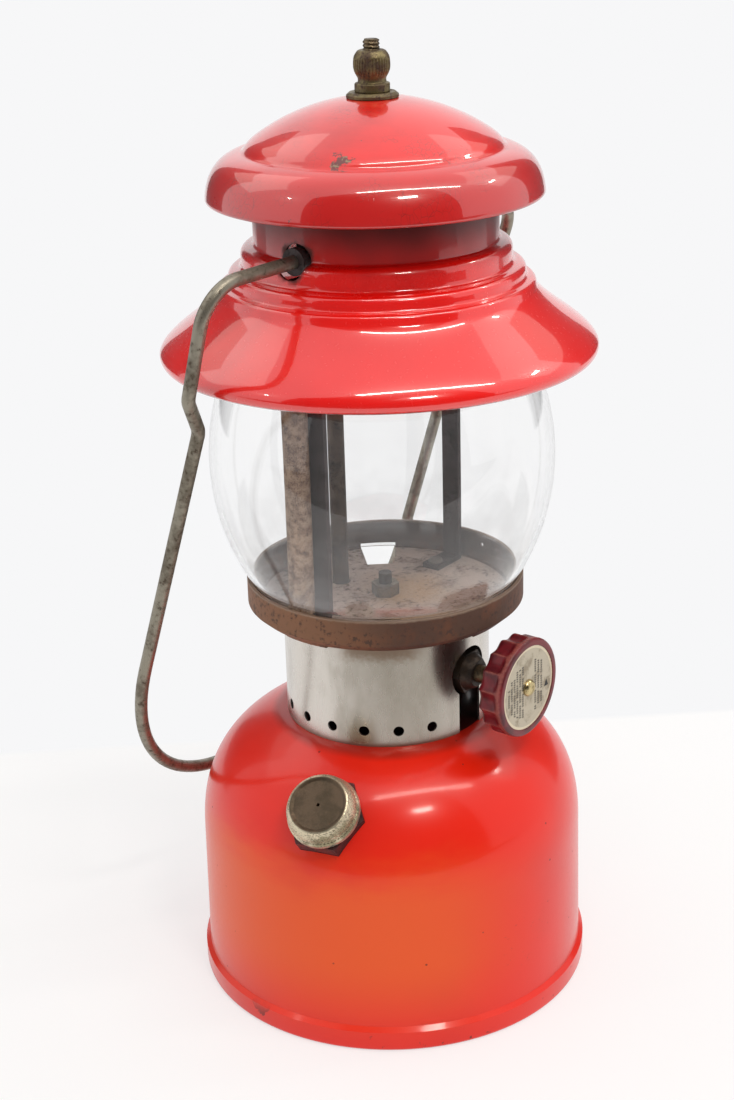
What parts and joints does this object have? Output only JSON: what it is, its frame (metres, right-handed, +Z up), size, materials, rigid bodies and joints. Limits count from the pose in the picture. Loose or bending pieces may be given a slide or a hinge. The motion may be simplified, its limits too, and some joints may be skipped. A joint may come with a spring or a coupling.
{
  "type": "gasoline pressure lantern",
  "caption": "Single-globe pressure lantern: red fount with filler and pump, nickel collar with valve wheel, clear globe, enamelled ventilator and a swinging wire bail.",
  "frame": {"origin": "centre of the base, on the surface that the lantern stands on", "axes": "+Z up along the lantern's axis, the valve wheel faces -Y, the bail swings about an axis along X and hangs on the +Y side"},
  "size_m": [0.182, 0.159, 0.36],
  "materials": {
    "fount_paint": "gloss, faded",
    "red_enamel": "gloss enamel",
    "dark_bushing": "dull",
    "aged_nickel": "worn nickel",
    "nickel_plate": "satin nickel",
    "aged_brass": "aged",
    "dark_brass": "oxidised",
    "bright_brass": "worn bright",
    "gasket_rubber": "matte",
    "cup_leather": "oiled",
    "dull_steel": "dull",
    "bail_steel": "dull, grey",
    "burnt_steel": "heat-darkened",
    "burnt_iron": "heat-darkened",
    "rusted_steel": "rusted",
    "maroon_wheel": "worn gloss",
    "disc_metal": "satin",
    "clear_glass": "clear"
  },
  "bodies": {
    "lantern": {"fount_shell": "fount_paint", "fount_bottom": "fount_paint", "filler_neck": "dark_bushing", "pump_barrel": "dark_bushing", "check_valve": "aged_brass", "pump_cap": "aged_nickel", "valve_bushing": "aged_brass", "valve_body": "aged_brass", "packing_nut": "dark_brass", "fuel_tube": "aged_brass", "collar": "nickel_plate", "globe_rest": "rusted_steel", "plate_nut": "dark_brass", "frame_strap_left": "burnt_steel", "frame_strap_right": "burnt_steel", "frame_screws": "dull_steel", "frame_nuts": "dull_steel", "top_bridge": "burnt_steel", "heat_baffle": "burnt_steel", "bail_ear_left": "rusted_steel", "bail_ear_right": "rusted_steel", "air_tube": "burnt_steel", "burner_manifold": "burnt_iron", "burner_cap": "burnt_iron", "generator": "dark_brass", "generator_nut": "dark_brass", "gas_tip": "aged_brass", "vent_stud": "dark_brass", "stud_spacer": "burnt_steel", "ventilator_skirt": "red_enamel", "ventilator_cap": "red_enamel", "cap_brackets": "burnt_steel", "globe": "clear_glass"},
    "bail": {"bail": "bail_steel"},
    "needle": {"valve_needle": "aged_brass"},
    "wheel": {"valve_stem": "dark_brass", "hand_wheel": "maroon_wheel", "direction_disc": "disc_metal", "wheel_screw": "bright_brass"},
    "filler_seal": {"filler_insert": "aged_brass", "filler_gasket": "gasket_rubber"},
    "filler_cap": {"filler_cap": "aged_nickel"},
    "pump_piston": {"pump_cup": "cup_leather", "cup_nut": "aged_brass"},
    "pump_handle": {"pump_rod": "dull_steel", "pump_knob": "maroon_wheel"},
    "finial_washer": {"finial_washer": "dark_brass"},
    "ball_nut": {"ball_nut": "dark_brass"}
  },
  "joints": [
    {"name": "bail_swing", "type": "hinge", "parent": "lantern", "child": "bail", "pos_m": [0, 0, 0.291], "axis": [1, 0, 0], "range_deg": [0, 322]},
    {"name": "needle_travel", "type": "slide", "parent": "lantern", "child": "needle", "axis": [0, -1, 0], "range_m": [0, 0.002]},
    {"name": "wheel_turn", "type": "hinge", "parent": "needle", "child": "wheel", "pos_m": [0, 0, 0.1315], "axis": [0, -1, 0], "range_deg": [0, 720]},
    {"name": "filler_travel", "type": "slide", "parent": "lantern", "child": "filler_seal", "axis": [-0.6306, -0.1808, 0.7547], "range_m": [0, 0.0045]},
    {"name": "filler_turn", "type": "hinge", "parent": "filler_seal", "child": "filler_cap", "pos_m": [-0.06196, -0.01777, 0.092], "axis": [-0.6306, -0.1808, 0.7547], "range_deg": [0, 1080]},
    {"name": "pump_stroke", "type": "slide", "parent": "lantern", "child": "pump_piston", "axis": [0.6113, 0.1986, 0.766], "range_m": [0, 0.046]},
    {"name": "pump_knob_turn", "type": "hinge", "parent": "pump_piston", "child": "pump_handle", "pos_m": [0.0613, 0.01992, 0.092], "axis": [0.6113, 0.1986, 0.766], "range_deg": [0, 720]},
    {"name": "finial_travel", "type": "slide", "parent": "lantern", "child": "finial_washer", "axis": [0, 0, 1], "range_m": [0, 0.0025]},
    {"name": "finial_turn", "type": "hinge", "parent": "finial_washer", "child": "ball_nut", "pos_m": [0, 0, 0.345], "axis": [0, 0, 1], "range_deg": [0, 720]}
  ],
  "couplings": [
    {"joint": "needle_travel", "follows": "wheel_turn", "m_per_rad": 0.00015915},
    {"joint": "filler_travel", "follows": "filler_turn", "m_per_rad": 0.00023873},
    {"joint": "finial_travel", "follows": "finial_turn", "m_per_rad": 0.00019894}
  ]
}
